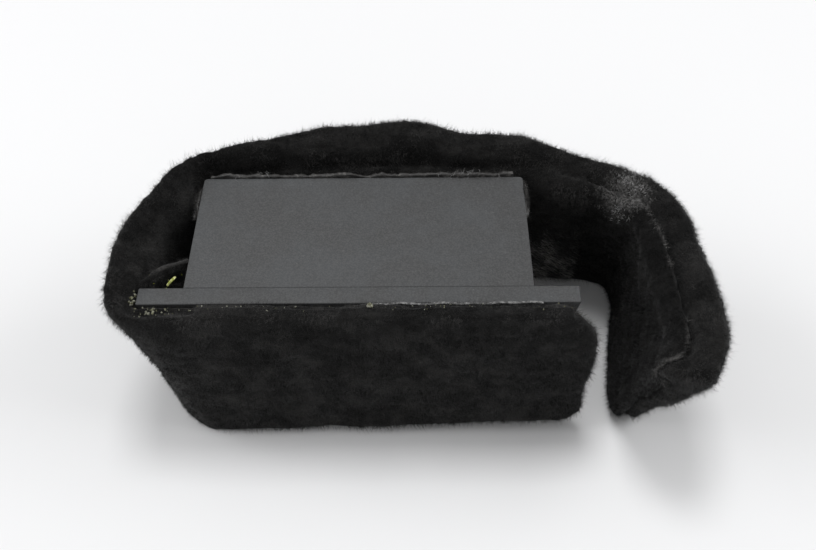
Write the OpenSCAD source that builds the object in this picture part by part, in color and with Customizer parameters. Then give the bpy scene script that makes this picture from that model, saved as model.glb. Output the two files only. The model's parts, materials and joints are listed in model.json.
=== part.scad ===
// Rosin cake: a block of rosin cast in a moulded holder, wrapped in a two-ply plush strip.
// The strip is glued to the holder's back, folds round its left end and covers the playing face.
// Its other end stands free on the right and curls forward.

/* [Holder] */
// Width of the holder block, mm
block_w = 50; // [40:0.5:62]
// Depth of the holder block behind the front plate, mm
block_d = 22.7; // [18:0.1:28]
// Height of the holder block, mm
block_h = 27; // [22:0.5:33]
// Rounding of the block's upright edges, mm
block_r = 0.6; // [0.2:0.1:2]
// Wall left between the rosin and the block's sides, mm
side_wall = 3.2; // [2:0.1:6]
// Wall left above and below the rosin, mm
top_wall = 3.4; // [2:0.1:6]
// Wall left behind the rosin, mm
back_wall = 3.5; // [2:0.1:6]

/* [Front plate] */
// How far the plate's upper corners stand out past the block, mm
plate_over = 6.35; // [3:0.05:9]
// Thickness of the plate, mm
plate_t = 3; // [2:0.1:4.5]

/* [Rosin] */
// How far the rosin's face lies back from the plate's face, mm
rosin_back = 0.2; // [0:0.1:1]
// Depth of the hollow worn along the rosin by the bow, mm
wear_d = 0.7; // [0:0.1:2]
// Radius of the worn hollow, mm
wear_r = 30; // [18:1:60]

/* [Plush strip] */
// Thickness of the front cover with its pile, mm
cover_t = 3.6; // [2.5:0.1:5]
// Share of the strip's thickness taken by the inner ply
inner_share = 0.41; // [0.3:0.01:0.5]
// How far the strip's rim stands above the block at the back, mm
rim_up = 3.8; // [1:0.1:6]
// Width of the strip's rim behind the block, mm
rim_w = 9.8; // [6:0.1:12]
// Width of the strip's foot behind the block, mm
foot_w = 4.6; // [3:0.1:6]
// How far the cover runs past the block on the right, mm
cover_over = 10.3; // [7:0.1:12]
// How far the cover's foot rises towards its right end, mm
foot_rise = 2.2; // [0:0.1:4]

/* [Free end] */
// How far the free end reaches past the block on the right, mm
reach = 26.9; // [24:0.1:32]
// How far the free end curls forward of the plate, mm
curl = 13.8; // [8:0.1:18]

/* [Hidden] */
gap = 0.3;                       // clear space between separate bodies
glue_t = 0.6;                    // thickness of the glue behind the block
hw = block_w / 2;                // half width of the block and of the plate's foot
pt = hw + plate_over;            // half width of the plate's top
yf = -plate_t - gap;             // cover's inner face
yo = yf - cover_t;               // cover's outer face
yb = block_d + glue_t - 0.1;     // strip's inner face behind the block
cav_w = block_w - 2 * side_wall; // width of the trough and the window
cav_h = block_h - 2 * top_wall;  // height of the trough and the window
split = -(cav_w / 2 + 0.7);      // upright fold line of the cover, just clear of the window
fold_x = hw + 0.15;              // upright fold line of the free wall
fold_y = yb + 0.72 * rim_w + gap; // just behind the strip where the wall leaves the block
bend = [hw + reach - 6.7, block_d + 0.5];  // upright fold line where the wall turns forward
lap = 0.012;                     // share by which the two plies press into each other
round_e = 1.4;                   // rounding of the strip's rim

function mixp(a, b, t) = a + (b - a) * t;
// smooth curve from b to c, past a and towards d
function bow(a, b, c, d, t) =
  0.5 * (2 * b + (c - a) * t + (2 * a - 5 * b + 4 * c - d) * t * t + (3 * b - a - 3 * c + d) * t * t * t);
function soft(P, n) =
  let (m = len(P) - 1)
  [for (i = [0:m - 1]) for (k = [0:n - 1])
     bow(P[max(i - 1, 0)], P[i], P[i + 1], P[min(i + 2, m)], k / n),
   P[m]];

// Each station of the strip: rim inside, rim outside, foot inside, foot outside, rim height,
// how far the inner ply stops below the rim, share of the lean that the outside reaches at mid height.
wrap_s = [
  [[split - gap, yf], [split - gap, yo], [split - gap, yf], [split - gap, yo + 0.3], block_h - 0.2, 1, 0.5],
  [[-pt + 3.3, yf], [-pt + 2.8, yo], [-hw + 1.4, yf], [-hw + 1.2, yo + 0.6], block_h + 0.1, 1, 0.42],
  [[-pt - 0.1, yf], [-pt - 1.9, yo + 0.6], [-hw - 0.1, yf], [-hw - 0.5, yf - 1.6], block_h + 0.7, 1, 0.33],
  [[-pt - 0.8, yf + 1.3], [-pt - 4.1, yo + 2.6], [-hw - 0.7, yf + 1], [-hw - 1.8, yf + 0.1],
   block_h + 1.5, 1.2, 0.33],
  [[-pt - 0.8, 1.2], [-pt - 4.8, 0.6], [-hw - 0.8, 1.2], [-hw - 2.8, 0.8], block_h + 2.6, 1.6, 0.36],
  [[-pt + 0.2, 0.4 * block_d], [-pt - 4.2, 0.4 * block_d], [-hw - 0.6, 0.4 * block_d],
   [-hw - 3.8, 0.4 * block_d], block_h + 3, 2, 0.5],
  [[-hw - 2.5, 0.77 * block_d], [-hw - 7.1, 0.82 * block_d], [-hw - 0.6, 0.77 * block_d],
   [-hw - 4, 0.82 * block_d], block_h + 3, 2.6, 0.5],
  [[-hw - 0.4, block_d + 0.4], [-hw - 2.9, block_d + 1.8], [-hw - 0.4, block_d + 0.4],
   [-hw - 2.8, block_d + 2.4], block_h + 3, 3.6, 0.5],
  along(-0.8, -0.8, 0.52, 0.87, 3.2, 4.3),
  along(-0.4, -0.42, 0.8, 0.96, rim_up - 0.2, 4.5),
  along(0, 0, 0.93, 1, rim_up, 4.6),
  along(0.36, 0.34, 1, 1, rim_up, 4.6),
  along(0.68, 0.7, 0.8, 1, rim_up - 0.8, 4),
  along(1 - 0.1 / hw, 1 - 0.1 / hw, 0.72, 1, 2.5, 3)];

wall_s = [
  [[hw + 0.4, yb + 0.2], [hw + 0.4, yb + 0.72 * rim_w], [hw + 0.4, yb + 1.1], [hw + 0.4, yb + foot_w],
   block_h + 2.5, 3, 0.5],
  [[hw + 3, yb - 1.4], [hw + 3, yb + 0.66 * rim_w], [hw + 3, yb + 1.4], [hw + 3, yb + foot_w + 0.1],
   block_h + 2, 2.2, 0.5],
  [[hw + 7, yb - 2.7], [hw + 7, yb + 0.52 * rim_w], [hw + 7, yb + 1.5], [hw + 7, yb + foot_w],
   block_h + 1.5, 1.8, 0.5],
  turn([-8, -4.7], [-7, 2.8], [-8, 1.1], [-7, 3.7], 1, 1.6),
  turn([-3.6, -8.2], [-0.5, -0.2], [-4.6, -0.2], [-0.9, 0.1], 0.5, 1.6)];

flap_s = [
  turn([-3.1, -8.6], [0.2, -0.6], [-4, -0.7], [-0.3, -0.5], 0.4, 1.6),
  [[bend[0] - 2.6, bend[1] - 13.2], [bend[0] + 4.4, 0.73 * block_d], [bend[0] - 3.3, 0.79 * block_d],
   [bend[0] + 1.5, 0.76 * block_d], block_h + 0.2, 1.7, 0.5],
  [[bend[0] - 1.9, 4], [bend[0] + 5.9, 7.7], [bend[0] - 4.9, 10], [bend[0] + 0.8, 9], block_h, 1.8, 0.5],
  [[bend[0] - 1.3, -2.6], [bend[0] + 6.7, -2.5], [bend[0] - 6.1, 3], [bend[0] - 0.9, 1.5], block_h, 1.8, 0.5],
  [[bend[0] - 1.9, -0.6 * curl], [bend[0] + 5.9, -0.8 * curl], [bend[0] - 6.4, -1], [bend[0] - 1.7, -3],
   block_h, 1.8, 0.5],
  [[bend[0] - 4.7, -curl], [bend[0] + 2.8, -curl - 3], [bend[0] - 6.5, -3.3], [bend[0] - 2.6, -6.2],
   block_h - 0.6, 1.8, 0.5]];

// a station behind the block: inside and outside place as shares of the half width, rim and foot
// thickness as shares of theirs, then the rim's height above the block and the inner ply's drop
function along(a, b, rim, foot, up, drop) =
  [[a * hw, yb], [b * hw, yb + rim * rim_w], [a * hw, yb], [b * hw, yb + foot * foot_w],
   block_h + up, drop, 0.5];
// a station near the bend, its four points taken from the bend's fold line
function turn(ri, ro, fi, fo, up, drop) =
  [bend + ri, bend + ro, bend + fi, bend + fo, block_h + up, drop, 0.5];

function column(S, k) = soft([for (s = S) s[k]], 3);
function strip(S) = [for (k = [0:6]) column(S, k)];
// share of the lean that is reached at height z, on the share s of the thickness
function lean(S, i, s, z) =
  let (u = z / S[4][i], m = mixp(0.5, S[6][i], s))
  u < 0.5 ? 2 * u * m : m + (2 * u - 1) * (1 - m);
function spot(S, i, s, z) =
  let (foot = mixp(S[2][i], S[3][i], s), rim = mixp(S[0][i], S[1][i], s))
  let (p = mixp(foot, rim, lean(S, i, s, z)))
  [p[0], p[1], z];
// cross-section of a ply: foot, mid height and a rounded rim that slopes down towards the block
function ring(S, i, a, b, foot, low) =
  let (z = S[4][i] - (low ? S[5][i] : 0))
  [spot(S, i, a, foot), spot(S, i, b, foot), spot(S, i, b, z / 2), spot(S, i, b, z - round_e),
   spot(S, i, mixp(a, b, 0.75), z), spot(S, i, mixp(a, b, 0.3), z - 0.5 * round_e),
   spot(S, i, a, z - 1.5 * round_e), spot(S, i, a, z / 2)];
function rings(S, a, b, foot, low) = [for (i = [0:len(S[0]) - 1]) each ring(S, i, a, b, foot, low)];

wrap = strip(wrap_s);
wall = strip(wall_s);
flap = strip(flap_s);
outer_pts = [for (S = [wrap, wall, flap]) each rings(S, 0.4, 1, gap, false)];
xs = [for (p = outer_pts) p[0]];
ys = [for (p = outer_pts) p[1]];
mid_x = (max(xs) + min(xs)) / 2;
mid_y = (max(ys) + min(ys)) / 2;

module set_down() translate([-mid_x, -mid_y, 0]) children();

module round_rect(w, d, r) {
  translate([-w / 2 + r, 0]) square([w - 2 * r, d]);
  translate([-w / 2, r]) square([w, d - 2 * r]);
  for (x = [-w / 2 + r, w / 2 - r]) for (y = [r, d - r]) translate([x, y]) circle(r, $fn = 48);
}

// a ply of the strip, from share a to share b of its thickness
module ply(S, a, b, foot, low) {
  n = 8;
  m = len(S[0]) - 1;
  cap = [[0, 1, 2], [0, 2, 7], [7, 2, 3], [7, 3, 6], [6, 3, 4], [6, 4, 5]];
  far_cap = [for (c = cap) [m * n + c[0], m * n + c[2], m * n + c[1]]];
  sides = [for (i = [0:n:(m - 1) * n]) for (j = [0:n - 1])
    let (k = (j + 1) % n) each [[i + j, i + n + j, i + n + k], [i + j, i + n + k, i + k]]];
  polyhedron(points = rings(S, a, b, foot, low), faces = concat(cap, far_cap, sides));
}

// block with the trough that the rosin is cast in, open to the front
module holder_body() color([0.09, 0.09, 0.095]) set_down()
  difference() {
    linear_extrude(block_h) union() {
      translate([-hw, 0]) square([block_w, 2 * block_r]);
      round_rect(block_w, block_d, block_r);
    }
    translate([-cav_w / 2, -1, top_wall]) cube([cav_w, block_d - back_wall + 1, cav_h]);
  }

// flanged plate with slanted ends; its window lets the bow reach the rosin
module front_plate() color([0.1, 0.1, 0.105]) set_down()
  difference() {
    rotate([90, 0, 0]) linear_extrude(plate_t)
      polygon([[-hw, 0], [hw, 0], [pt, block_h], [-pt, block_h]]);
    translate([-cav_w / 2, -plate_t - 1, top_wall]) cube([cav_w, plate_t + 2, cav_h]);
  }

// rosin fills the trough and the window, with the hollow worn by the bow
module rosin_cake() color([0.45, 0.42, 0.12]) set_down()
  difference() {
    translate([-cav_w / 2, -plate_t + rosin_back, top_wall])
      cube([cav_w, block_d - back_wall + plate_t - rosin_back, cav_h]);
    translate([-cav_w, -plate_t + rosin_back - wear_r + wear_d, block_h / 2])
      rotate([0, 90, 0]) cylinder(r = wear_r, h = 2 * cav_w, $fn = 180);
  }

// glue layer that holds the strip on the block's back
module back_glue() color([0.55, 0.53, 0.48]) set_down()
  translate([-hw + 1, block_d, 1]) cube([block_w - 2.4, glue_t, block_h - 0.6]);

module wrap_cloth() color([0.025, 0.025, 0.028]) set_down() ply(wrap, inner_share - lap, 1, 0, false);
module wrap_lining() color([0.03, 0.03, 0.033]) set_down() ply(wrap, 0, inner_share + lap, 0, true);
module wall_cloth() color([0.025, 0.025, 0.028]) set_down() ply(wall, inner_share - lap, 1, gap, false);
module wall_lining() color([0.03, 0.03, 0.033]) set_down() ply(wall, 0, inner_share + lap, gap, true);
module flap_cloth() color([0.025, 0.025, 0.028]) set_down() ply(flap, inner_share - lap, 1, gap, false);
module flap_lining() color([0.03, 0.03, 0.033]) set_down() ply(flap, 0, inner_share + lap, gap, true);

// outline of the front cover seen from the front, drawn inside by e; its foot rises to the right
module cover_outline(e) {
  l = split + gap;
  r = hw + cover_over - e;
  t = block_h - 0.1 - e;
  low = gap + e;
  high = gap + foot_rise + e;
  module corner(x, z, c) translate([x, z]) circle(c, $fn = 64);
  difference() {
    union() {
      polygon([[l, low], [r - 4.5, high], [r - 4.5, t], [l, t]]);
      translate([r - 4.6, high + 4.5]) square([4.6, t - high - 10.5]);
      corner(r - 4.5, high + 4.5, 4.5);
      corner(r - 6, t - 6, 6);
    }
    translate([r + 8.6, 0.45 * t]) circle(9, $fn = 64);
  }
}

module cover_cloth() color([0.025, 0.025, 0.028]) set_down()
  translate([0, yo + (1 - inner_share) * cover_t, 0]) rotate([90, 0, 0])
    linear_extrude((1 - inner_share) * cover_t) cover_outline(0);

module cover_lining() color([0.03, 0.03, 0.033]) set_down()
  translate([0, yf, 0]) rotate([90, 0, 0])
    linear_extrude(inner_share * cover_t) cover_outline(1);

// splinters of rosin caught round the plate's left end
module chip(a, b, t)
  linear_extrude(t)
    polygon([[-a / 2, -b / 3], [a / 5, -b / 2], [a / 2, b / 6], [0, b / 2], [-a / 3, b / 3]]);

module rosin_chips() color([0.55, 0.55, 0.15]) set_down() {
  translate([-hw - 4.1, 1.1, block_h - 1.6]) rotate([90, 25, 0]) chip(2.6, 1.6, 1.1);
  translate([-hw - 0.9, 3.6, block_h - 2.3]) rotate([0, 90, 0]) chip(1.5, 2, 0.9);
  translate([-hw - 2.8, 0.8, block_h - 3.4]) rotate([90, -15, 0]) chip(1.4, 1.3, 0.8);
  translate([-hw - 0.7, 6.4, block_h - 3.6]) rotate([0, 90, 0]) chip(1.2, 1.1, 0.7);
}

holder_body();
front_plate();
rosin_cake();
back_glue();
wrap_cloth();
wrap_lining();
cover_cloth();
cover_lining();
wall_cloth();
wall_lining();
flap_cloth();
flap_lining();
rosin_chips();
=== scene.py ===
import json
import math

import bmesh
import bpy
import numpy as np
from mathutils import Euler, Matrix, Vector, noise
from mathutils.bvhtree import BVHTree
from mathutils.kdtree import KDTree


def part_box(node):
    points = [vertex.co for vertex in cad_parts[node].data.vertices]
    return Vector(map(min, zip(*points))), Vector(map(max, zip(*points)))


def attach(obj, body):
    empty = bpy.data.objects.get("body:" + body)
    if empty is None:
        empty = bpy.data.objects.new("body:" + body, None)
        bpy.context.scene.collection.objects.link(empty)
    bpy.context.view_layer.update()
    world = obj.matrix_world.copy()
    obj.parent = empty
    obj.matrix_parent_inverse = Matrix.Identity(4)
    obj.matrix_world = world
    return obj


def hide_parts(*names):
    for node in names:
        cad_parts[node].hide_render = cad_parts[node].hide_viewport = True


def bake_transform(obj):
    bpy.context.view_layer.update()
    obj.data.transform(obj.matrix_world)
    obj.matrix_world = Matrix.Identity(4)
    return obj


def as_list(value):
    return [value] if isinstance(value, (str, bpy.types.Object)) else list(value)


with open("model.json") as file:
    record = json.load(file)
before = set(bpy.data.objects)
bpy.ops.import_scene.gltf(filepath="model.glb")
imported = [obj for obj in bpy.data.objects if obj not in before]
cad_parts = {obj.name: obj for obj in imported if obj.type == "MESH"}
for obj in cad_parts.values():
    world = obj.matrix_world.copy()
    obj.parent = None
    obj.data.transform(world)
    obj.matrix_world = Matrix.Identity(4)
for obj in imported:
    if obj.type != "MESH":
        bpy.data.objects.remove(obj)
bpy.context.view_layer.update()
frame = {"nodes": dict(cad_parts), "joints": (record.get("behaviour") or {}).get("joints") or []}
mm = 0.001
print("frame loaded")

# places that everything else is set out from
blockLow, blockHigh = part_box("holder_body")
plateLow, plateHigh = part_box("front_plate")
foldAt = {joint["name"]: Vector(joint["pos_m"]) for joint in frame["joints"]}
origin = Vector(((blockLow.x + blockHigh.x) / 2, blockLow.y, 0))   # middle of the block's front, on the table


def spot(x, y, z):
    # a place in millimetres from the middle of the block's front
    return origin + Vector((x, y, z)) * mm


# camera, lights and table
view = dict(place=(8.2, -92.9, 134.5), down=48.5, turn=0.7, roll=-0.89, lens=44.12)


def makeCamera():
    data = bpy.data.cameras.new("camera")
    data.lens = view["lens"]
    data.sensor_width = 36
    data.clip_start = 0.01
    camera = bpy.data.objects.new("camera", data)
    camera.location = spot(*view["place"])
    aim = Euler((math.radians(90 - view["down"]), 0, math.radians(view["turn"]))).to_matrix()
    camera.rotation_euler = (aim @ Matrix.Rotation(math.radians(view["roll"]), 3, "Z")).to_euler()
    bpy.context.collection.objects.link(camera)
    bpy.context.scene.camera = camera


lighting = dict(
    sky=0.46,
    lamps=dict(      # place, size in metres, power in watts
        key=((-0.02, 0.14, 0.76), 0.22, 1.95),
        left=((-0.62, 0.04, 0.42), 0.5, 2.2),
        right=((0.62, 0.04, 0.42), 0.5, 2.1),
    ),
)


def makeLight(name, at, size, power):
    data = bpy.data.lights.new(name, "AREA")
    data.size = size
    data.energy = power
    lamp = bpy.data.objects.new(name, data)
    lamp.location = Vector(at)
    lamp.rotation_euler = (Vector((0, 0, 0.01)) - Vector(at)).to_track_quat("-Z", "Y").to_euler()
    bpy.context.collection.objects.link(lamp)


def makeLights():
    world = bpy.data.worlds.new("studio")
    world.use_nodes = True
    world.node_tree.nodes["Background"].inputs["Color"].default_value = (1, 1, 1, 1)
    world.node_tree.nodes["Background"].inputs["Strength"].default_value = lighting["sky"]
    bpy.context.scene.world = world
    for name, (at, size, power) in lighting["lamps"].items():
        makeLight(name, at, size, power)
    bpy.context.scene.view_settings.view_transform = "Standard"


# shader maths
class Wire:
    # one socket of a material, so that sums can be written as sums
    def __init__(self, tree, socket):
        self.tree, self.socket = tree, socket

    def maths(self, operation, other, swap=False):
        node = self.tree.nodes.new("ShaderNodeMath")
        node.operation = operation
        for index, value in enumerate((other, self) if swap else (self, other)):
            feed(self.tree, node.inputs[index], value)
        return Wire(self.tree, node.outputs[0])

    def __add__(self, other):
        return self.maths("ADD", other)

    def __radd__(self, other):
        return self.maths("ADD", other)

    def __sub__(self, other):
        return self.maths("SUBTRACT", other)

    def __rsub__(self, other):
        return self.maths("SUBTRACT", other, True)

    def __mul__(self, other):
        return self.maths("MULTIPLY", other)

    def __rmul__(self, other):
        return self.maths("MULTIPLY", other)


def feed(tree, socket, value):
    if isinstance(value, Wire):
        tree.links.new(value.socket, socket)
    elif isinstance(value, (tuple, list)) and socket.type == "RGBA" and len(value) == 3:
        socket.default_value = (*value, 1)
    else:
        socket.default_value = value


def socketKey(name):
    # n3 is the socket with number 3, any other name is the socket's own with _ for a space
    return int(name[1:]) if name[0] == "n" and name[1:].isdigit() else name.replace("_", " ")


class Finish:
    # a material under construction
    def __init__(self, name, **fixed):
        self.material = bpy.data.materials.new(name)
        self.material.use_nodes = True
        self.tree = self.material.node_tree
        self.shader = self.tree.nodes["Principled BSDF"]
        self.set(**fixed)

    def set(self, **values):
        for name, value in values.items():
            feed(self.tree, self.shader.inputs[name.replace("_", " ")], value)

    def node(self, kind, settings=None, out=0, **sockets):
        node = self.tree.nodes.new(kind)
        for name, value in (settings or {}).items():
            setattr(node, name, value)
        for name, value in sockets.items():
            feed(self.tree, node.inputs[socketKey(name)], value)
        return Wire(self.tree, node.outputs[out])

    def place(self, scale=(1, 1, 1), turn=(0, 0, 0)):
        here = self.node("ShaderNodeTexCoord", out=3)
        return self.node("ShaderNodeMapping", Vector=here, Rotation=turn, Scale=scale)

    def noise(self, vector, scale, detail=2.0, roughness=0.5):
        return self.node("ShaderNodeTexNoise", Vector=vector, Scale=scale, Detail=detail, Roughness=roughness)

    def step(self, value, low, high):
        # 0 below low and 1 above high
        return self.node("ShaderNodeMapRange", {"interpolation_type": "SMOOTHSTEP"}, Value=value,
                         From_Min=low, From_Max=high, To_Min=0.0, To_Max=1.0)

    def blend(self, factor, first, second):
        return self.node("ShaderNodeMix", {"data_type": "RGBA"}, out=2, n0=factor, n6=first, n7=second)

    def vectors(self, operation, out=0, **sockets):
        return self.node("ShaderNodeVectorMath", {"operation": operation}, out, **sockets)

    def bump(self, height, strength, distance):
        return self.node("ShaderNodeBump", Height=height, Strength=strength, Distance=distance)


def grey(level, warm=0.0):
    return (level * (1 + warm), level, level * (1 - warm))


holderLook = dict(tone=0.052, dust=0.24, edge=0.16, edgeSteps=3)


def holderFinish():
    # black plastic with a fine grain, faint drag lines from the mould and specks of rosin dust
    f = Finish("holderPlastic", Specular_IOR_Level=0.35)
    here = f.place()
    grain = f.noise(here, 4200.0, 3.0, 0.75)
    cloud = f.noise(here, 110.0, 4.0, 0.6)
    drag = f.noise(f.place(scale=(1.0, 0.1, 0.1)), 3600.0, 3.0, 0.6)
    rub = f.step(f.noise(f.place(scale=(0.3, 1.0, 1.0), turn=(0.3, 0.2, 0.5)), 900.0, 4.0, 0.7), 0.60, 0.78)
    specks = f.step(f.noise(here, 3100.0, 1.0), 0.70, 0.77)
    tone = holderLook["tone"]
    base = f.blend(f.step(cloud, 0.35, 0.7), grey(tone * 0.86, -0.01), grey(tone * 1.08, -0.05))
    base = f.blend(f.step(grain, 0.40, 0.62) * 0.5, base, grey(tone * 1.9, -0.02))
    base = f.blend(rub * 0.10 + specks * 0.16, base, grey(holderLook["dust"]))
    f.set(Base_Color=base, Roughness=0.46 + cloud * 0.12 + grain * 0.08)
    f.set(Normal=f.bump(grain * 0.6 + drag * 0.4, 0.6, 0.00008))
    return f.material


rosinLook = dict(pale=(0.62, 0.50, 0.16), deep=(0.30, 0.20, 0.03), powder=(0.74, 0.72, 0.60))


def rosinFinish():
    # amber cake, glassy where it is fresh and powdered where the bow has dragged along it
    f = Finish("rosin", IOR=1.53, Transmission_Weight=0.25, Subsurface_Weight=0.15)
    here = f.place()
    cloud = f.noise(here, 160.0, 4.0, 0.6)
    streak = f.noise(f.place(scale=(0.08, 1, 1)), 2400.0, 3.0, 0.6)
    powder = f.step(streak * 0.6 + cloud * 0.5, 0.46, 0.66)
    body = f.blend(f.step(cloud, 0.3, 0.7), rosinLook["deep"], rosinLook["pale"])
    f.set(Base_Color=f.blend(powder * 0.7, body, rosinLook["powder"]), Roughness=0.16 + powder * 0.5)
    f.set(Normal=f.bump(streak + cloud * 0.6, 0.4, 0.0001))
    return f.material


def splinterFinish(name, pale, deep, clear=0.45):
    # broken rosin: glassy, paler where it has crushed
    f = Finish(name, IOR=1.53, Transmission_Weight=clear)
    cloud = f.noise(f.place(), 1800.0, 3.0)
    crushed = f.step(cloud, 0.42, 0.62)
    f.set(Base_Color=f.blend(crushed, deep, pale), Roughness=0.06 + crushed * 0.4)
    f.set(Normal=f.bump(cloud, 0.4, 0.00008))
    return f.material


def glueFinish():
    # dried glue, milky where it is thick and dirty brown-grey where lint has stuck to it
    f = Finish("driedGlue", IOR=1.45)
    here = f.place()
    cloud = f.noise(here, 700.0, 4.0, 0.65)
    lint = f.step(f.noise(here, 2600.0, 2.0), 0.38, 0.6)
    milky = f.blend(f.step(cloud, 0.54, 0.72), grey(0.022, 0.06), grey(0.13, 0.04))
    f.set(Base_Color=f.blend(lint * 0.7, milky, grey(0.03)), Roughness=0.3 + cloud * 0.35)
    f.set(Normal=f.bump(cloud + lint * 0.3, 0.6, 0.0002))
    return f.material


plushLook = dict(deep=0.0018, light=0.0150, edge=0.17, dust=0.15, dustAt=(40.8, 19.5, 26.0),
                 dustReach=(4.6, 3.6, 4.0))


def plushFinish(name, lift=1.0):
    # the ground under the pile: matted and lighter places, the pale cut edge, a patch of rosin dust; a lift
    # below 1 scales its dark and light tones down as painted shade
    f = Finish(name, Sheen_Weight=0.12, Sheen_Roughness=0.5, Specular_IOR_Level=0.1)
    here = f.place()
    cloud = f.noise(here, 170.0, 5.0, 0.65)
    swirl = f.noise(here, 620.0, 4.0, 0.7)
    fibre = f.noise(here, 4200.0, 3.0, 0.7)
    dark, light = grey(plushLook["deep"] * lift, 0.03), grey(plushLook["light"] * lift, 0.03)
    streak = f.noise(f.place(scale=(0.4, 1.0, 1.0)), 330.0, 4.0, 0.7)
    base = f.blend(f.step(cloud * 0.3 + streak * 0.4 + fibre * 0.3, 0.42, 0.60), dark, light)
    cutEdge = f.node("ShaderNodeAttribute", {"attribute_name": "cutEdge"}, out=2)
    frayed = cutEdge * f.step(fibre * 0.5 + swirl * 0.5, 0.36, 0.58) * 0.8
    base = f.blend(frayed, base, grey(plushLook["edge"], 0.03))
    spread = Vector(plushLook["dustReach"]) * mm
    at = spot(*plushLook["dustAt"])
    away = f.vectors("SUBTRACT", n0=f.node("ShaderNodeTexCoord", out=3), n1=at)
    away = f.vectors("DIVIDE", n0=away, n1=spread)
    distance = f.vectors("LENGTH", 1, n0=away)
    dust = (1 - f.step(distance + swirl * 1.4 - 0.7, 0.4, 1.1)) * f.step(fibre, 0.4, 0.6)
    f.set(Base_Color=f.blend(dust * 0.85, base, grey(plushLook["dust"], 0.02)), Roughness=0.85 + cloud * 0.12)
    f.set(Normal=f.bump(fibre * 0.5 + swirl * 0.8, 0.9, 0.00030))
    return f.material


def hairFinish(name, tone, warm=0.0, rough=0.6, sheen=0.1):
    # one hair colour, the same all over
    f = Finish(name, Base_Color=grey(tone, warm), Roughness=rough, Sheen_Weight=sheen, Specular_IOR_Level=0.2)
    return f.material


def tableFinish():
    f = Finish("tableTop", Roughness=0.6, Specular_IOR_Level=0.2)
    cloud = f.noise(f.place(), 6.0, 3.0)
    f.set(Base_Color=f.blend(cloud, (0.83, 0.832, 0.84), (0.86, 0.862, 0.87)))
    return f.material


# mesh helpers
def link(name, mesh):
    piece = bpy.data.objects.new(name, mesh)
    bpy.context.collection.objects.link(piece)
    return piece


def built(name, bm):
    # the scene object of a finished bmesh
    mesh = bpy.data.meshes.new(name)
    bm.to_mesh(mesh)
    bm.free()
    return link(name, mesh)


def cadCopy(node):
    # the CAD node's own surface with its loose triangles joined
    bm = bmesh.new()
    bm.from_mesh(frame["nodes"][node].data)
    bmesh.ops.remove_doubles(bm, verts=bm.verts, dist=0.002 * mm)
    return bm


def cut(bm, at, away):
    # keeps the side that away points from, and closes the cut
    geometry = bm.verts[:] + bm.edges[:] + bm.faces[:]
    bmesh.ops.bisect_plane(bm, geom=geometry, plane_co=at, plane_no=away, clear_outer=True, dist=1e-7)
    rim = [edge for edge in bm.edges if edge.is_boundary]
    if rim:
        bmesh.ops.holes_fill(bm, edges=rim, sides=0)


def hullOf(points):
    # the closed hull of loose points
    bm = bmesh.new()
    for co in points:
        bm.verts.new(co)
    made = bmesh.ops.convex_hull(bm, input=bm.verts)
    inside = {part for part in made["geom_interior"] if isinstance(part, bmesh.types.BMVert)}
    bmesh.ops.delete(bm, geom=list(inside), context="VERTS")
    bmesh.ops.recalc_face_normals(bm, faces=bm.faces)
    return bm


def bridge(first, second, near):
    # the hull of the two facing ends, so that cloth cut at a fold line is whole again
    ends = []
    for one, other in ((first, second), (second, first)):
        tree = KDTree(len(other.verts))
        for index, vert in enumerate(other.verts):
            tree.insert(vert.co, index)
        tree.balance()
        ends += [vert.co.copy() for vert in one.verts if tree.find(vert.co)[2] < near]
    return hullOf(ends)


def joined(parts):
    whole = bmesh.new()
    for bm in parts:
        mesh = bpy.data.meshes.new("part")
        bm.to_mesh(mesh)
        whole.from_mesh(mesh)
        bpy.data.meshes.remove(mesh)
    return whole


def settled(piece):
    # the piece with its modifiers applied
    graph = bpy.context.evaluated_depsgraph_get()
    mesh = bpy.data.meshes.new_from_object(piece.evaluated_get(graph))
    piece.modifiers.clear()
    old = piece.data
    piece.data = mesh
    bpy.data.meshes.remove(old)
    return piece


def relaxed(piece, rounds, group=""):
    # adds the smoothing that settled applies, within one vertex group if it is named
    relax = piece.modifiers.new("relax", "SMOOTH")
    relax.factor = 0.5
    relax.iterations = rounds
    relax.vertex_group = group
    return piece


def evened(piece, voxel, rounds=0):
    # one closed even-meshed skin round the piece, then relaxed
    remesh = piece.modifiers.new("remesh", "REMESH")
    remesh.mode = "VOXEL"
    remesh.voxel_size = voxel * mm
    if rounds:
        relaxed(piece, rounds)
    return settled(piece)


def readPoints(mesh):
    points = np.zeros(len(mesh.vertices) * 3)
    mesh.vertices.foreach_get("co", points)
    return points.reshape(-1, 3)


def readNormals(mesh):
    normals = np.zeros(len(mesh.vertices) * 3, np.float32)
    mesh.vertex_normals.foreach_get("vector", normals)
    return normals.reshape(-1, 3).astype(float)


# the plush strip
plush = dict(
    voxel=0.42, smooth=6, seed=11,
    heave=0.50, heaveSize=8.0,       # broad swells of the cloth, mm
    crease=0.15, creaseSize=2.4,     # matted tufts and creases, mm
    lip=1.2,                         # how far the cover's top edge stands up against the plate, mm
    groove=0.35, ridge=0.35,         # beside the inner ply's cut edge on the free end, mm
    corner=-9.8, cornerTurn=-0.42,   # where the inner ply's rim corner is cut back, and how that cut turns
)


def rise(value, low, high):
    # 0 below low, 1 above high, smooth between
    t = np.clip((value - low) / (high - low), 0, 1)
    return t * t * (3 - 2 * t)


def inBlockFrame(points):
    # metres in the row's frame to millimetres from the middle of the block's front
    return (points - np.array(origin)) / mm


def soften(piece, where, rounds):
    # rounds off the places that where gives a weight to
    weights = where(inBlockFrame(readPoints(piece.data)))
    group = piece.vertex_groups.new(name="soften")
    for index in np.nonzero(weights > 0.02)[0]:
        group.add([int(index)], float(weights[index]), "REPLACE")
    settled(relaxed(piece, rounds, "soften"))
    piece.vertex_groups.clear()


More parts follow.
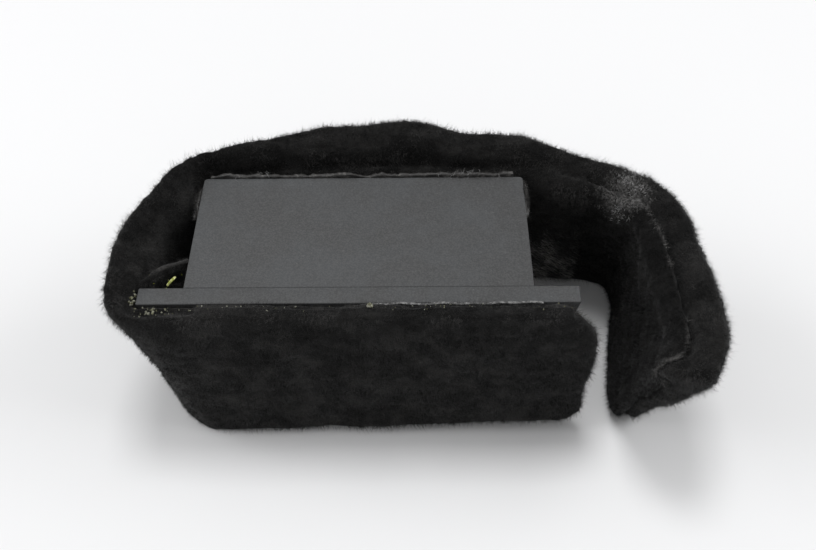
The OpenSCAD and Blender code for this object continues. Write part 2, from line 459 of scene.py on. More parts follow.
def heaved(piece):
    # swells and creases along the surface's own normals
    mesh = piece.data
    points, normals = readPoints(mesh), readNormals(mesh)
    shift = np.zeros(len(points))
    for index, point in enumerate(points):
        p = Vector(point) / mm
        swell = noise.noise(p / plush["heaveSize"] + Vector((3.1, 7.7, 1.9)))
        fine = noise.fractal(p / plush["creaseSize"], 0.6, 2.0, 3)
        shift[index] = plush["heave"] * swell + plush["crease"] * fine
    foot = rise(points[:, 2], 0, 2.5 * mm)        # the foot stays flat on the table
    points += normals * (shift * mm * (0.35 + 0.65 * foot))[:, None]
    writePoints(mesh, points)
    return piece


def writePoints(mesh, points):
    points[:, 2] = np.maximum(points[:, 2], 0.12 * mm)
    mesh.vertices.foreach_set("co", points.ravel())
    mesh.update()


def lipped(piece):
    # the cover's top edge stands up against the plate, its left fold is straight and its free end worn in
    points = readPoints(piece.data)
    x, y, z = inBlockFrame(points).T
    front = 1 - rise(y, -2.5, 1.0)
    top = rise(z, 20.5, 26.2) * front
    inner = rise(y, -5.8, -3.9) * (1 - rise(x, -24, -19)) * rise(x, -33, -30)
    points[:, 2] += mm * top * (plush["lip"] * rise(x, -31, -27) * (1 - rise(x, 29, 34)) + 0.3 * inner)
    points[:, 1] += mm * top * (0.25 + 0.5 * inner)
    left = (1 - rise(x, -26, -19)) * (1 - rise(y, -1.0, 5.0))
    points[:, 0] -= mm * left * (1.2 * np.sin(math.pi * np.clip(z / 27, 0, 1)) + 0.9 * (1 - rise(z, 0.5, 9)))
    end = rise(x, 27.5, 35.0) * front
    waist = np.exp(-((z - 8.5) / 3.2) ** 2)
    points[:, 0] -= (1.5 + 0.8 * waist) * mm * end
    writePoints(piece.data, points)


def trimmed(piece, at, away):
    # cuts a skin at a plane and closes it; the rim of the cut stays sharp
    bm = bmesh.new()
    bm.from_mesh(piece.data)
    cut(bm, at, away)
    for face in bm.faces:
        face.smooth = True
    for edge in bm.edges:
        if any(len(face.verts) > 8 for face in edge.link_faces):
            edge.smooth = False
    bmesh.ops.triangulate(bm, faces=[face for face in bm.faces if len(face.verts) > 4])
    bm.to_mesh(piece.data)
    bm.free()
    return piece


def surfaceOf(piece):
    corners = [vert.co for vert in piece.data.vertices]
    return BVHTree.FromPolygons(corners, [face.vertices for face in piece.data.polygons])


def setMark(piece, name, values):
    mark = piece.data.attributes.get(name) or piece.data.attributes.new(name, "FLOAT", "POINT")
    mark.data.foreach_set("value", np.asarray(values, np.float32))


def dropMark(piece, name):
    piece.data.attributes.remove(piece.data.attributes[name])


def readMark(piece, name):
    values = np.zeros(len(piece.data.vertices), np.float32)
    piece.data.attributes[name].data.foreach_get("value", values)
    return values


def markPile(piece, others, near=0.75):
    # pile grows only where nothing presses on the cloth
    trees = [surfaceOf(other) for other in others]
    bare = np.ones(len(piece.data.vertices))
    normals = readNormals(piece.data)
    for index, vert in enumerate(piece.data.vertices):
        if vert.co.z < 0.9 * mm and normals[index][2] < -0.3:
            bare[index] = 0
            continue
        out = Vector(normals[index])
        for tree in trees:
            if tree.find_nearest(vert.co, near * mm)[0] is None:
                continue
            ahead, behind = tree.ray_cast(vert.co, out, 1.6 * mm), tree.ray_cast(vert.co, -out, 0.3 * mm)
            if ahead[0] is not None or behind[0] is not None:
                bare[index] = 0
                break
    setMark(piece, "pile", bare)


def cutEdges(cloth, lining):
    # along the line where the inner ply ends: a ridge on the inner ply, a groove in the outer one
    ridge, groove = (lining, cloth, 0.85, plush["ridge"]), (cloth, lining, 1.5, -plush["groove"])
    for piece, other, reach, push in (ridge, groove):
        tree = surfaceOf(other)
        bare = readMark(piece, "pile")
        points, normals = readPoints(piece.data), readNormals(piece.data)
        close = np.zeros(len(points))
        for index, vert in enumerate(piece.data.vertices):
            hit = tree.find_nearest(vert.co, reach * mm)
            if bare[index] > 0 and hit[0] is not None and vert.co.z > 12 * mm:
                close[index] = 1 - hit[3] / (reach * mm)
        points += normals * (push * mm * close)[:, None]
        writePoints(piece.data, points)
        setMark(piece, "cutEdge", close if piece is lining else 0 * close)


def hairMesh(name, hairs, thick, seed, bend=0.35):
    # a tuft of thin closed spikes, one unit long, that spread from one root
    rng = np.random.default_rng(seed)
    bm = bmesh.new()
    for _ in range(hairs):
        root = np.array([*rng.normal(0, 0.3, 2), 0])
        lean = rng.normal(0, bend, 2)
        tall = rng.uniform(0.65, 1.1)
        turn = rng.uniform(0, math.tau)
        ring = []
        for k in range(3):
            angle = turn + k * math.tau / 3
            ring.append(bm.verts.new(root + thick * np.array([math.cos(angle), math.sin(angle), 0])))
        tip = bm.verts.new(root + np.array([lean[0], lean[1], tall]))
        bm.faces.new(ring[::-1])
        for k in range(3):
            bm.faces.new((ring[k], ring[(k + 1) % 3], tip))
    bmesh.ops.recalc_face_normals(bm, faces=bm.faces)
    return built(name, bm)


def strayMesh(name, thick, seed):
    # one long bent hair
    rng = np.random.default_rng(seed)
    bm = bmesh.new()
    bow = rng.uniform(0.12, 0.3, 2)
    corners = [math.tau * k / 3 for k in range(3)]
    rings = []
    for step in range(4):
        t = step / 4
        middle = np.array([bow[0] * t * t, bow[1] * t ** 3, t * (1 - 0.12 * t)])
        wide = thick * (1 - 0.6 * t)
        spokes = [wide * np.array([math.cos(a), math.sin(a), 0]) for a in corners]
        rings.append([bm.verts.new(middle + spoke) for spoke in spokes])
    tip = bm.verts.new(np.array([bow[0], bow[1], 0.88]))
    bm.faces.new(rings[0][::-1])
    for low, high in zip(rings, rings[1:]):
        for k in range(3):
            bm.faces.new((low[k], low[(k + 1) % 3], high[(k + 1) % 3], high[k]))
    for k in range(3):
        bm.faces.new((rings[-1][k], rings[-1][(k + 1) % 3], tip))
    bmesh.ops.recalc_face_normals(bm, faces=bm.faces)
    return built(name, bm)


class Grower:
    # a Geometry Nodes tree under construction
    def __init__(self, name):
        self.tree = bpy.data.node_groups.new(name, "GeometryNodeTree")
        self.tree.interface.new_socket("Geometry", in_out="INPUT", socket_type="NodeSocketGeometry")
        self.tree.interface.new_socket("Geometry", in_out="OUTPUT", socket_type="NodeSocketGeometry")
        self.start = self.tree.nodes.new("NodeGroupInput")
        self.end = self.tree.nodes.new("NodeGroupOutput")

    def input(self, name, kind):
        self.tree.interface.new_socket(name, in_out="INPUT", socket_type=kind)
        return self.start.outputs[name]

    def add(self, kind, settings=None, out=0, **sockets):
        node = self.tree.nodes.new(kind)
        for name, value in (settings or {}).items():
            setattr(node, name, value)
        for name, value in sockets.items():
            socket = node.inputs[socketKey(name)]
            if isinstance(value, bpy.types.NodeSocket):
                self.tree.links.new(value, socket)
            else:
                socket.default_value = value
        return node.outputs[out]

    def vectors(self, operation, **sockets):
        return self.add("ShaderNodeVectorMath", {"operation": operation}, **sockets)

    def maths(self, operation, **sockets):
        return self.add("ShaderNodeMath", {"operation": operation}, **sockets)

    def wander(self, place, size, amount):
        # a smooth field of directions
        field = self.add("ShaderNodeTexNoise", out="Color", Vector=place, Scale=size, Detail=2.0)
        field = self.vectors("SUBTRACT", n0=field, n1=(0.5, 0.5, 0.5))
        return self.vectors("SCALE", n0=field, Scale=amount)


def pileTree():
    # scatters hairs over the marked cloth, combed one way with swirls, in four hair tones
    g = Grower("pile")
    cloth = g.start.outputs["Geometry"]
    density = g.input("Tufts per square metre", "NodeSocketFloat")
    length = g.input("Hair length", "NodeSocketFloat")
    comb = g.input("Comb", "NodeSocketVector")
    lift = g.input("Lift", "NodeSocketFloat")
    swirls = g.input("Swirl", "NodeSocketFloat")
    hair = g.input("Hair", "NodeSocketObject")
    seed = g.input("Seed", "NodeSocketInt")
    tones = [g.input(f"Tone {k}", "NodeSocketMaterial") for k in range(4)]
    mark = g.add("GeometryNodeInputNamedAttribute", {"data_type": "FLOAT"}, Name="grow")
    points = g.tree.nodes.new("GeometryNodeDistributePointsOnFaces")
    g.tree.links.new(cloth, points.inputs["Mesh"])
    g.tree.links.new(g.maths("MULTIPLY", n0=mark, n1=density), points.inputs["Density"])
    g.tree.links.new(seed, points.inputs["Seed"])
    place = g.add("GeometryNodeInputPosition")
    broad = g.wander(place, 240.0, 2.6)
    broad = g.vectors("SCALE", n0=broad, Scale=swirls)
    lean = g.vectors("ADD", n0=broad, n1=comb)
    lean = g.vectors("ADD", n0=lean, n1=g.wander(place, 1700.0, 1.8))
    out = g.vectors("SCALE", n0=points.outputs["Normal"], Scale=lift)
    way = g.vectors("ADD", n0=out, n1=lean)
    turn = g.add("FunctionNodeAlignRotationToVector", {"axis": "Z"}, Vector=way)
    spin = g.add("FunctionNodeRandomValue", {"data_type": "FLOAT"}, out=1, n2=0.0, n3=6.28, Seed=seed)
    spun = g.add("FunctionNodeAxisAngleToRotation", Axis=(0, 0, 1), Angle=spin)
    turn = g.add("FunctionNodeRotateRotation", {"rotation_space": "LOCAL"}, Rotation=turn, Rotate_By=spun)
    vary = g.add("FunctionNodeRandomValue", {"data_type": "FLOAT"}, out=1, n2=0.55, n3=1.25, Seed=seed)
    size = g.maths("MULTIPLY", n0=vary, n1=length)
    tone = g.add("FunctionNodeRandomValue", {"data_type": "FLOAT"}, out=1, n2=0.0, n3=1.0, Seed=seed)
    patchy = g.add("ShaderNodeTexNoise", Vector=place, Scale=280.0, Detail=3.0)
    tone = g.maths("ADD", n0=tone, n1=g.maths("MULTIPLY_ADD", n0=patchy, n1=7.0, n2=-3.5))
    stored = g.add("GeometryNodeStoreNamedAttribute", {"data_type": "FLOAT", "domain": "POINT"},
                   Geometry=points.outputs["Points"], Name="tone", Value=tone)
    shape = g.add("GeometryNodeObjectInfo", out="Geometry", Object=hair)
    hairs = g.add("GeometryNodeInstanceOnPoints", Points=stored, Instance=shape, Rotation=turn, Scale=size)
    mesh = g.add("GeometryNodeRealizeInstances", Geometry=hairs)
    level = g.add("GeometryNodeInputNamedAttribute", {"data_type": "FLOAT"}, Name="tone")
    mesh = g.add("GeometryNodeSetMaterial", Geometry=mesh, Material=tones[0])
    greater = {"data_type": "FLOAT", "operation": "GREATER_THAN"}
    for tone, above in zip(tones[1:], (0.35, 0.75, 1.08)):
        pick = g.add("FunctionNodeCompare", greater, n0=level, n1=above)
        mesh = g.add("GeometryNodeSetMaterial", Geometry=mesh, Selection=pick, Material=tone)
    g.tree.links.new(mesh, g.end.inputs[0])
    return g.tree


def grown(name, cloth, hair, shades, look, seed, where=None):
    # the pile of one piece, as a plain mesh; without where it grows wherever the piece is marked as bare
    piece = link(name, cloth.data.copy())
    piece.data.materials.clear()
    setMark(piece, "grow", readMark(cloth, "pile") if where is None else where)
    modifier = piece.modifiers.new("grow", "NODES")
    modifier.node_group = tree
    keys = {item.name: item.identifier for item in tree.interface.items_tree if item.in_out == "INPUT"}
    values = {"Tufts per square metre": look["perMm"] * 1e6, "Hair length": look["length"] * mm,
              "Comb": look["comb"], "Lift": look["lift"], "Swirl": look["swirl"], "Hair": hair, "Seed": seed}
    values.update({f"Tone {k}": shade for k, shade in enumerate(shades)})
    for socket, value in values.items():
        modifier[keys[socket]] = value
    settled(piece)
    for name in ("tone", "grow", "pile", "cutEdge"):
        if name in piece.data.attributes:
            dropMark(piece, name)
    print(f"{piece.name}: {len(piece.data.polygons)} faces")
    return piece


makeCamera()
makeLights()
table = link("tableTop", bpy.data.meshes.new("tableTop"))
tableHalf = 1.5      # metres
corners = [(x * tableHalf, y * tableHalf, 0) for x, y in ((-1, -1), (1, -1), (1, 1), (-1, 1))]
table.data.from_pydata(corners, [], [(0, 1, 2, 3)])
table.data.materials.append(tableFinish())
print("camera, lights and table")

# cloth skins: each is made longer than is needed and cut to meet the next
leftCut = spot(0, 6.0, 0)
wallCut = (foldAt["wall_fold"] + foldAt["flap_fold"]) / 2
spare = 8 * mm


def clipped(node, at, away):
    bm = cadCopy(node)
    cut(bm, at, away)
    return bm


def coverSkin():
    parts = []
    for ply in ("cloth", "lining"):
        cover = cadCopy(f"cover_{ply}")
        fold = clipped(f"wrap_{ply}", leftCut + Vector((0, spare, 0)), Vector((0, 1, 0)))
        parts += [cover, fold, bridge(cover, fold, 1.9 * mm)]
    piece = evened(built("coverPlush", joined(parts)), plush["voxel"], plush["smooth"])
    soften(piece, lambda p: rise(p[:, 0], 30, 33), 14)
    lipped(piece)
    return trimmed(heaved(piece), leftCut, Vector((0, 1, 0)))


def wrapSkin():
    parts = []
    for ply in ("cloth", "lining"):
        wrap = clipped(f"wrap_{ply}", leftCut - Vector((0, spare, 0)), Vector((0, -1, 0)))
        wall = clipped(f"wall_{ply}", wallCut + Vector((spare * 0.7, 0, 0)), Vector((1, 0, 0)))
        parts += [wrap, wall, bridge(wrap, wall, 1.0 * mm)]
    piece = heaved(evened(built("wrapPlush", joined(parts)), plush["voxel"], plush["smooth"]))
    trimmed(piece, leftCut, Vector((0, -1, 0)))
    return trimmed(piece, wallCut, Vector((1, 0, 0)))


def flapEnd(p, reach=4.5):
    # 1 at the free end, which slants from foot to rim, and 0 from reach millimetres before it
    slant = -3.5 - 10.5 * np.clip(p[:, 2] / 27, 0, 1)
    return (1 - rise(p[:, 1] - slant, 0.5, reach)) * rise(p[:, 0], 35, 37)


def flapSkin(ply):
    # the inner ply's rim corner is cut back at the free end and the outer ply fills the place
    corner, turned = spot(0, plush["corner"], 27), Vector((0, 1, plush["cornerTurn"])).normalized()
    wall, flap = cadCopy(f"wall_{ply}"), cadCopy(f"flap_{ply}")
    bridged = bridge(wall, flap, 1.3 * mm)
    if ply == "cloth":
        parts = [wall, flap, bridged, clipped("flap_lining", corner, turned)]
    else:
        parts = [wall, clipped("flap_lining", corner - turned * 0.5 * mm, -turned), bridged]
    piece = evened(built(f"flap{ply.title()}", joined(parts)), plush["voxel"], plush["smooth"])
    soften(piece, lambda p: flapEnd(p, 5.0), 34)
    points = readPoints(piece.data)
    p = inBlockFrame(points)
    foot = flapEnd(p, 7.0) * (1 - rise(p[:, 2], 4, 14))
    points[:, 1] += mm * foot * (1.1 if ply == "cloth" else -0.5)
    writePoints(piece.data, points)
    return trimmed(heaved(piece), wallCut, Vector((-1, 0, 0)))


cover, wrap = coverSkin(), wrapSkin()
flapCloth, flapLining = flapSkin("cloth"), flapSkin("lining")
cloths = {"cover": [cover], "wrap": [wrap], "flap": [flapCloth, flapLining]}
print("cloth skins")

hard = [frame["nodes"][n] for n in ("holder_body", "front_plate", "back_glue", "rosin_cake")]
for name, pieces in cloths.items():
    for piece in pieces:
        markPile(piece, [other for other in pieces if other is not piece] + hard)
cutEdges(flapCloth, flapLining)
flapAt = inBlockFrame(readPoints(flapLining.data))
lowAtEnd = flapEnd(flapAt, 6.0) * (1 - rise(flapAt[:, 2], 17, 21))
cutLine = readMark(flapLining, "cutEdge") ** 1.4 * (1 - lowAtEnd)
setMark(flapLining, "cutEdge", cutLine)
for piece in (cover, wrap):
    setMark(piece, "cutEdge", np.zeros(len(piece.data.vertices)))

# the flap's inner ply gets its ground at 0.40 of the outer ply's tones, as painted shade inside the flap
ground, liningGround = plushFinish("plushGround"), plushFinish("liningGround", 0.40)


def tones(name, *levels, sheen=0.1):
    # four hair colours, from the deepest to the palest
    return [hairFinish(f"{name}{k}", level, 0.01 * k, sheen=sheen) for k, level in enumerate(levels)]


pileTones = tones("pileHair", 0.0018, 0.005, 0.016, 0.048)
# the inner ply's hairs are painted darker than the outer ply's, as painted shade inside the flap; their sheen
# is lower too
liningPaintedShadeTones = tones("liningHair", 0.0012, 0.0025, 0.006, 0.013, sheen=0.03)
streakTones = tones("streakHair", 0.016, 0.032, 0.060, 0.100)
# pale hair tones for the foot of the strip's inner face: painted light over the shade there
wallPaintedLightTones = tones("wallHair", 0.06, 0.12, 0.24, 0.40)
frayTones = tones("frayHair", 0.10, 0.20, 0.32, 0.50)
dustTones = [hairFinish("dustDark", 0.06, 0.02), hairFinish("dustMid", 0.15, 0.02),
             hairFinish("dustPale", 0.27, 0.01), hairFinish("dustBright", 0.46)]
pile = dict(      # tufts to a square millimetre, lengths in millimetres
    nap=dict(hairs=5, perMm=4.8, length=0.50, thick=0.05, lift=1.1, swirl=1.0),
    fuzz=dict(hairs=4, perMm=2.7, length=1.0, thick=0.015, lift=1.6, swirl=0.4),
    stray=dict(perMm=0.05, length=1.5, thick=0.006, lift=1.6, swirl=1.0),
    dust=dict(perMm=8.0, length=0.5, lift=0.7, swirl=2.2, comb=(0.3, 0.1, 0)),
    streaks=dict(perMm=8.0, length=1.1, lift=0.5, swirl=0.5, comb=(1.8, 0, 0)),
    fray=dict(perMm=24.0, length=0.65, lift=0.9, swirl=1.5, comb=(0.3, 0, 0.2)),
    bands=dict(cover=2, wrap=3, flap=1),
    combs=dict(cover=(0.25, -0.1, -0.35), wrap=(0.1, 0.2, 0.2), flap=(0.1, 0.0, 0.1)),
)
nap, fuzz, stray = pile["nap"], pile["fuzz"], pile["stray"]
napHair = hairMesh("napHair", nap["hairs"], nap["thick"], plush["seed"])
fuzzHair = hairMesh("fuzzHair", fuzz["hairs"], fuzz["thick"], plush["seed"] + 2)
strayHair = strayMesh("strayHair", stray["thick"], plush["seed"] + 1)
tree = pileTree()


def fuzzWhere(piece):
    # no loose haze on the pressed fold at the cover's left
    x, y, z = inBlockFrame(readPoints(piece.data)).T
    pressed = (1 - rise(x, -24, -17)) * (1 - rise(y, -1, 4)) * (1 - rise(z, 21, 26))
    return readMark(piece, "pile") * (1 - pressed)


def looseWhere(piece):
    # hair has worked loose round the cover's free end and the flap's end
    p = inBlockFrame(readPoints(piece.data))
    coverEnd = rise(p[:, 0], 31, 33) * (1 - rise(p[:, 1], -2, 0))
    flapFoot = (1 - rise(p[:, 2], 6, 12)) * (1 - rise(p[:, 1], 8, 12)) * rise(p[:, 0], 36, 37)
    return readMark(piece, "pile") * (1 + 20 * np.maximum(coverEnd, np.maximum(flapEnd(p, 6), flapFoot)))


def bands(piece, where, count):
    # the weights split into bands along the cloth, so that no one mesh gets too large
    x = readPoints(piece.data)[:, 0]
    edges = np.quantile(x[where > 0], np.linspace(0, 1, count + 1))
    edges[0], edges[-1] = -1, 1
    return [where * ((x >= low) & (x < high)) for low, high in zip(edges, edges[1:])]


def dustWhere(piece):
    # 1 in the middle of the dusty patch, on bare cloth only
    away = (inBlockFrame(readPoints(piece.data)) - plushLook["dustAt"]) / plushLook["dustReach"]
    return (1 - rise(np.linalg.norm(away, axis=1), 0.5, 1.3)) * readMark(piece, "pile")


def growOn(name, piece, shades, seed):
    # short nap, a haze of finer hairs over it and a few long loose ones; the nap is thinner under the dust
    bare = readMark(piece, "pile") * (1 - 0.7 * dustWhere(piece))
    kinds = [(f"Nap{k + 1}", nap, napHair, where)
             for k, where in enumerate(bands(piece, bare, pile["bands"][name]))]
    kinds += [("Fuzz", fuzz, fuzzHair, fuzzWhere(piece)), ("Stray", stray, strayHair, looseWhere(piece))]
    made = []
    for kind, hair, shape, where in kinds:
        look = dict(hair, comb=pile["combs"][name])
        made.append(grown(piece.name + kind, piece, shape, shades, look, seed + len(made), where))
    return made


hairs = {}
for order, (name, pieces) in enumerate(cloths.items()):
    for ply, piece in enumerate(pieces):
        seed = plush["seed"] + 10 * order + 5 * ply
        hairs[piece] = growOn(name, piece, liningPaintedShadeTones if piece is flapLining else pileTones, seed)
        if name == "flap":
            hairs[piece].append(grown(piece.name + "Dust", piece, napHair, dustTones, pile["dust"], seed + 3,
                                      dustWhere(piece)))


def lowOnWall(piece):
    # the foot of the strip's inner face, where the pile is brushed flat along its length; the pale hairs
    # grown here are painted light that lifts the shade at the foot
    p, facing = inBlockFrame(readPoints(piece.data)), readNormals(piece.data)[:, 1]
    band = rise(p[:, 2], 0.3, 1.5) * (1 - rise(p[:, 2], 9.0, 15.0))
    return band * rise(p[:, 0], 24, 27) * rise(-facing, 0.3, 0.7) * readMark(piece, "pile")


# pale streaks of hair along the foot of the inner face, painted light over the shade there
hairs[wrap].append(grown("wallStreaks", wrap, fuzzHair, wallPaintedLightTones, pile["streaks"], plush["seed"] + 40,
                         lowOnWall(wrap)))
hairs[flapLining].append(grown("cutEdgeFray", flapLining, fuzzHair, frayTones, pile["fray"], plush["seed"],
                               cutLine))
for shape in (napHair, fuzzHair, strayHair):
    bpy.data.objects.remove(shape)
for pieces in cloths.values():
    for piece in pieces:
        piece.data.materials.clear()
        piece.data.materials.append(liningGround if piece is flapLining else ground)
        dropMark(piece, "pile")
print("pile")

# the places each cloth folds about, listed; the cloth pieces and their hair are baked in place
foldReach = 5.0 * mm
coverFold, wallFold, flapFold = foldAt["cover_fold"], foldAt["wall_fold"], foldAt["flap_fold"]
alongX, across = Vector((foldReach, 0, 0)), Vector((1, -1, 0)).normalized() * foldReach
bends = {
    "cover": ("holder", "cover", coverFold - alongX, coverFold + alongX),
    "wrap": ("holder", "wall", wallFold - alongX, wallFold + alongX),
    "flap": ("wall", "flap", flapFold - across, flapFold + across),
}
for name, pieces in cloths.items():
    for piece in pieces:
        for part in [piece, *hairs[piece]]:
            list(bends[name])
            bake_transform(part)
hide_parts("cover_cloth", "cover_lining")
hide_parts("wrap_cloth", "wrap_lining", "wall_cloth", "wall_lining")
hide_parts("flap_cloth")
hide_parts("flap_lining")


# holder and rosin
def moulded(name, node, finish):
    # the CAD part with its corners broken, as it comes out of a mould
    bm = cadCopy(node)
    bmesh.ops.dissolve_limit(bm, angle_limit=math.radians(1), verts=bm.verts, edges=bm.edges)
    piece = built(name, bm)
    piece.data.shade_smooth()
    bevel = piece.modifiers.new("brokenEdge", "BEVEL")
    bevel.width = holderLook["edge"] * mm
    bevel.segments = holderLook["edgeSteps"]
    bevel.limit_method = "ANGLE"
    bevel.angle_limit = math.radians(40)
    bevel.harden_normals = True
    settled(piece)
    piece.data.materials.append(finish)
    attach(piece, "holder")
    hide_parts(node)
    return piece


plastic = holderFinish()
moulded("holderBlock", "holder_body", plastic)
moulded("facePlate", "front_plate", plastic)
cake = frame["nodes"]["rosin_cake"]
cake.data.materials.clear()
cake.data.materials.append(rosinFinish())
print("holder and rosin")

# dried glue
glue = dict(
    voxel=0.22, seed=5, dabSwell=1.15, lump=0.24, lumpSize=1.3, waver=0.6, waverSize=3.2,
    fray=dict(perMm=9.0, length=0.75, lift=0.8, swirl=1.6, comb=(0, -0.2, 0.1)),
)


def dab(low, high):
    # a blob of glue, a little larger than the space between two corners
    bm = bmesh.new()
    bmesh.ops.create_icosphere(bm, subdivisions=3, radius=1)
    middle = [(a + b) / 2 for a, b in zip(low, high)]
    reach = [(b - a) / 2 * glue["dabSwell"] for a, b in zip(low, high)]
    for vert in bm.verts:
        vert.co = spot(*(m + r * c for m, r, c in zip(middle, reach, vert.co)))
    return bm


def gluePiece():
    # the glue layer, its top squeezed out unevenly, with dabs on the block's two far corners
    side, back = (blockHigh.x - blockLow.x) / 2 / mm, (blockHigh.y - blockLow.y) / mm
    top = blockHigh.z / mm
    dabs = [dab((side - 0.15, back - 6.5, top - 4.0), (side + 0.35, back + 0.3, top + 0.1)),
            dab((-side - 0.7, back - 7.0, top - 3.5), (-side + 0.15, back - 0.8, top - 0.2)),
            dab((side - 11.5, back - 0.15, top - 0.3), (side - 3.8, back + 0.35, top + 0.45))]
    piece = evened(built("driedGlue", joined([cadCopy("back_glue"), *dabs])), glue["voxel"])
    points, normals = readPoints(piece.data), readNormals(piece.data)
    for index, point in enumerate(points):
        p = Vector(point) / mm
        lump = noise.fractal(p / glue["lumpSize"], 0.7, 2.0, 3) * glue["lump"]
        points[index] += normals[index] * lump * mm
        crest = rise(p.z, top - 1.5, top + 0.3)
        wave = noise.noise(Vector((p.x / glue["waverSize"], 2.5, 0)))
        points[index][2] += crest * wave * glue["waver"] * mm
    writePoints(piece.data, points)
    piece.data.shade_smooth()
    piece.data.materials.append(glueFinish())
    return piece


driedGlue = gluePiece()
glueTones = [hairFinish("glueDirt", 0.02, 0.05), hairFinish("glueLint", 0.05, 0.04),
             hairFinish("glueMilk", 0.12, 0.03), hairFinish("glueClear", 0.30, 0.0, 0.3)]
glueHair = hairMesh("glueHair", 3, 0.03, glue["seed"], 0.5)


def frayWhere(piece):
    # glue frays along the block's far edge, most of all at its two corners
    x, y, z = inBlockFrame(readPoints(piece.data)).T
    top = rise(z, 26.3, 26.9)
    corners = rise(np.abs(x), 23.8, 24.9) * rise(z, 22.5, 25.5)
    lip = rise(x, 12, 14) * (1 - rise(x, 21, 22.5))
    return top * (0.07 + 0.5 * lip) + corners


setMark(driedGlue, "pile", np.ones(len(driedGlue.data.vertices)))
glueFray = grown("glueFray", driedGlue, glueHair, glueTones, glue["fray"], glue["seed"], frayWhere(driedGlue))
bpy.data.objects.remove(glueHair)
dropMark(driedGlue, "pile")
for piece in (driedGlue, glueFray):
    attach(piece, "holder")
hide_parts("back_glue")
print("glue")

# splinters and crumbs
crumbs = dict(seed=23, points=11, around=7, alongPlate=80, atEnd=12, underCorner=9)
plateHalf = (plateHigh.x - plateLow.x) / 2 / mm


def shard(rng, at, size):
    # an irregular broken lump: the hull of a few random points
    turn = Euler(rng.uniform(0, math.tau, 3) if size[0] < 2 else (0.2, -0.1, 0.95)).to_matrix()
    points = []
    for _ in range(crumbs["points"]):
        way = Vector(rng.normal(0, 1, 3)).normalized() * rng.uniform(0.6, 1.0)
        away = turn @ Vector((way.x * size[0], way.y * size[1], way.z * size[2]))
        points.append(spot(*at) + away * mm / 2)
    return hullOf(points)


def shards(name, finish, places, bend=None):
    # one piece of broken lumps, baked in place when a bend is given, else riding on the holder
    rng = np.random.default_rng(crumbs["seed"])
    piece = built(name, joined([shard(rng, at, size) for at, size in places(rng)]))
    piece.data.materials.append(finish)
    if bend:
        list(bend)
        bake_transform(piece)
    else:
        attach(piece, "holder")
    return piece


def inPocket(rng):
    # the two long slivers and the pieces round the plate's left end
    yield (-plateHalf + 4.3, 1.9, 26.4), (3.0, 0.7, 0.6)
    yield (-plateHalf + 3.4, 0.6, 25.8), (2.0, 0.5, 0.45)
    for _ in range(crumbs["around"]):
        size = rng.uniform(0.25, 0.7)
        place = (-plateHalf + rng.uniform(0.5, 6.0), rng.uniform(0.3, 3.5), rng.uniform(25.0, 26.9))
        yield place, (size, size * 0.7, size * 0.6)


def onCoverTop(rng):
    # crumbs caught in the cover's top edge, thickest to the left, and one lump near the middle
    places = [(-plateHalf + 2 * plateHalf * rng.uniform(0, 1) ** 1.5, rng.uniform(-5.4, -3.4),
               rng.uniform(0.15, 0.45)) for _ in range(crumbs["alongPlate"])]
    places += [(-plateHalf + rng.normal(2.6, 0.8), rng.normal(-4.5, 0.35), rng.uniform(0.4, 1.0))
               for _ in range(crumbs["underCorner"])]
    for x, y, size in [*places, (1.8, -4.6, 1.5)]:
        below = coverTop.ray_cast(spot(x, y, 40), Vector((0, 0, -1)))[0]
        if below is not None:
            z = (below - origin).z / mm
            yield (x, y, z + 0.3), (size, size * 0.8, size * 0.7)


def atPlateEnd(rng):
    # pale glassy lumps in the fold beside the plate's left end
    for _ in range(crumbs["atEnd"]):
        size = rng.uniform(0.5, 1.3)
        place = (-plateHalf + rng.uniform(-1.5, -0.1), rng.uniform(-3.1, -0.3), rng.uniform(26.6, 27.2))
        yield place, (size, size * 0.7, size * 0.6)


yellow = splinterFinish("splinterYellow", (0.72, 0.74, 0.30), (0.36, 0.40, 0.06))
pale = splinterFinish("splinterPale", (0.60, 0.60, 0.50), (0.22, 0.22, 0.13))
splinters = shards("rosinSplinters", yellow, inPocket)
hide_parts("rosin_chips")
coverTop = surfaceOf(cover)
shards("rosinCrumbs", pale, onCoverTop, bends["cover"])
shards("rosinLumps", pale, atPlateEnd)
print("splinters")


# the folded-in tab and the peeled strip
ribbons = dict(      # paths and sizes in millimetres
    tab=dict(path=((-33.4, -1.4), (-30.8, 1.8), (-28.8, 3.7), (-25.0, 5.8)), low=23.0, high=26.9, thick=0.85,
             steps=40, waver=0.25, waves=3.0),
    strip=dict(path=((0.5, -3.20), (13.0, -3.20), (26.0, -3.20)), low=26.4, high=27.1, thick=0.36,
               steps=150, waver=0.16, waves=9.0),
    nap=dict(perMm=9.0, length=0.55, lift=0.8, swirl=1.0, comb=(-0.2, -0.2, 0.2)),
)


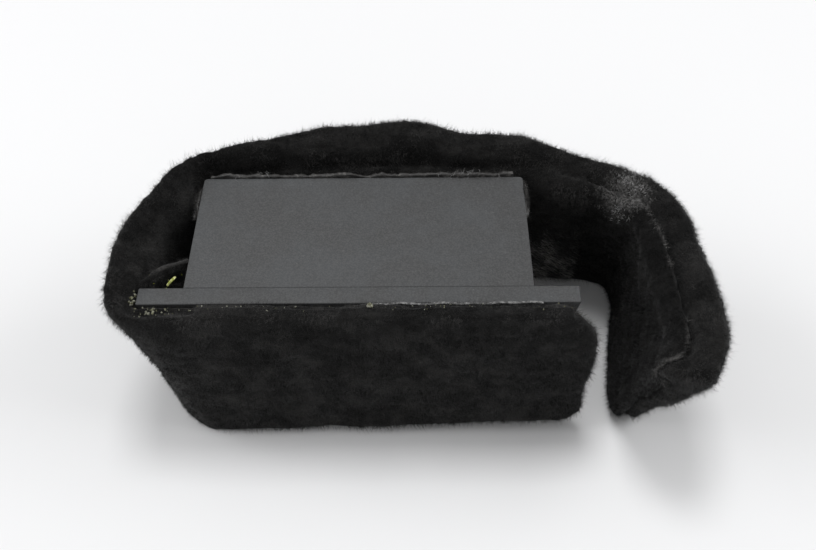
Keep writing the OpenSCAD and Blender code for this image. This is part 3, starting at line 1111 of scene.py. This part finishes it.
def ribbon(name, path, low, high, thick, steps, waver, waves):
    # a standing band that follows a path, its edges and sides wavering
    path = np.array(path)
    along = np.linspace(0, 1, len(path))
    t = np.linspace(0, 1, steps)
    order = min(3, len(path) - 1)
    line = np.stack([np.polyval(np.polyfit(along, path[:, k], order), t) for k in (0, 1)], axis=1)
    side = np.gradient(line, axis=0)
    side = np.stack([-side[:, 1], side[:, 0]], axis=1) / np.linalg.norm(side, axis=1)[:, None]
    bm = bmesh.new()
    rings = []
    for k in range(steps):
        sway = [waver * noise.noise(Vector((t[k] * waves, row, 0.3))) for row in (1.5, 4.5, 8.5)]
        lowSide, highSide = line[k] + side[k] * sway[0], line[k] + side[k] * sway[1] * 2
        crest = high + sway[2] * 2
        corners = ((lowSide, low, -1), (lowSide, low, 1), (highSide, crest, 1), (highSide, crest, -1))
        ring = []
        for middle, z, way in corners:
            x, y = middle + side[k] * way * thick / 2
            ring.append(bm.verts.new(spot(x, y, z)))
        rings.append(ring)
    for near, far in zip(rings, rings[1:]):
        for k in range(4):
            bm.faces.new((near[k], near[(k + 1) % 4], far[(k + 1) % 4], far[k]))
    bm.faces.new(rings[0][::-1])
    bm.faces.new(rings[-1])
    bmesh.ops.recalc_face_normals(bm, faces=bm.faces)
    return built(name, bm)


tab = evened(ribbon("pocketTab", **ribbons["tab"]), 0.28, 4)
tab.data.shade_smooth()
setMark(tab, "pile", np.ones(len(tab.data.vertices)))
setMark(tab, "cutEdge", rise(inBlockFrame(readPoints(tab.data))[:, 2], 26.7, 27.4) * 0.35)
tabHair = hairMesh("tabHair", 4, 0.02, plush["seed"])
tabNap = grown("pocketTabNap", tab, tabHair, streakTones, ribbons["nap"], plush["seed"] + 50)
bpy.data.objects.remove(tabHair)
dropMark(tab, "pile")
tab.data.materials.append(ground)
for piece in (tab, tabNap):
    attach(piece, "holder")
hairs[wrap] += [tab, tabNap]
for name, pieces in cloths.items():
    for piece in pieces:
        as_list(hairs[piece])
strip = ribbon("peeledStrip", **ribbons["strip"])
strip.data.materials.append(splinterFinish("peeledPlastic", grey(0.20), grey(0.08), 0.0))
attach(strip, "holder")
print("tab and strip")
